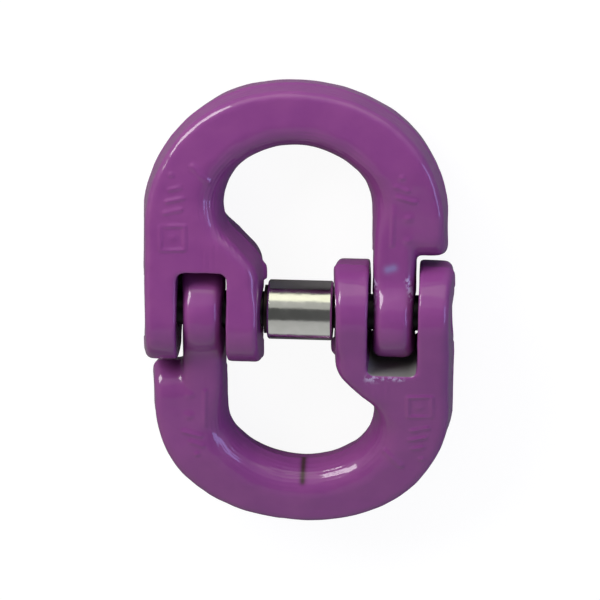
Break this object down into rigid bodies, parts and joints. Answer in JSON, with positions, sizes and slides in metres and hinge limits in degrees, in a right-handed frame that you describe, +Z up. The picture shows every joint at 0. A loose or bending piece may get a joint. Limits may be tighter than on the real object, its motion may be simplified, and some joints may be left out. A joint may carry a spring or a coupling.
{
  "type": "connecting link",
  "caption": "Two forged half links hooked together on a load pin, with a bush that locks the pin, for joining chain to a fitting.",
  "frame": {"origin": "on the surface it lies on, straight under the middle of the load pin", "axes": "+X along the load pin, +Y along the link towards the upper half's bow, +Z up"},
  "size_m": [0.0644, 0.0974, 0.0206],
  "materials": {
    "purple_coat": "thick glossy coat over forged steel",
    "dark_steel": "turned and oil-blackened",
    "polished_steel": "ground and polished",
    "spring_steel": "dark spring steel"
  },
  "bodies": {
    "lower_half": {"lower_half": "purple_coat"},
    "upper_half": {"upper_half": "purple_coat"},
    "load_pin": {"load_pin": "dark_steel"},
    "bush": {"locking_bush": "polished_steel", "spring_sleeve": "spring_steel"}
  },
  "joints": [
    {"name": "link_fold", "type": "hinge", "parent": "lower_half", "child": "upper_half", "pos_m": [0, 0, 0.0102], "axis": [1, 0, 0], "range_deg": [-95, 116]},
    {"name": "pin_turn", "type": "hinge", "parent": "lower_half", "child": "load_pin", "pos_m": [0, 0, 0.0102], "axis": [1, 0, 0], "continuous": true},
    {"name": "bush_turn", "type": "hinge", "parent": "load_pin", "child": "bush", "pos_m": [0, 0, 0.0102], "axis": [1, 0, 0], "continuous": true}
  ]
}
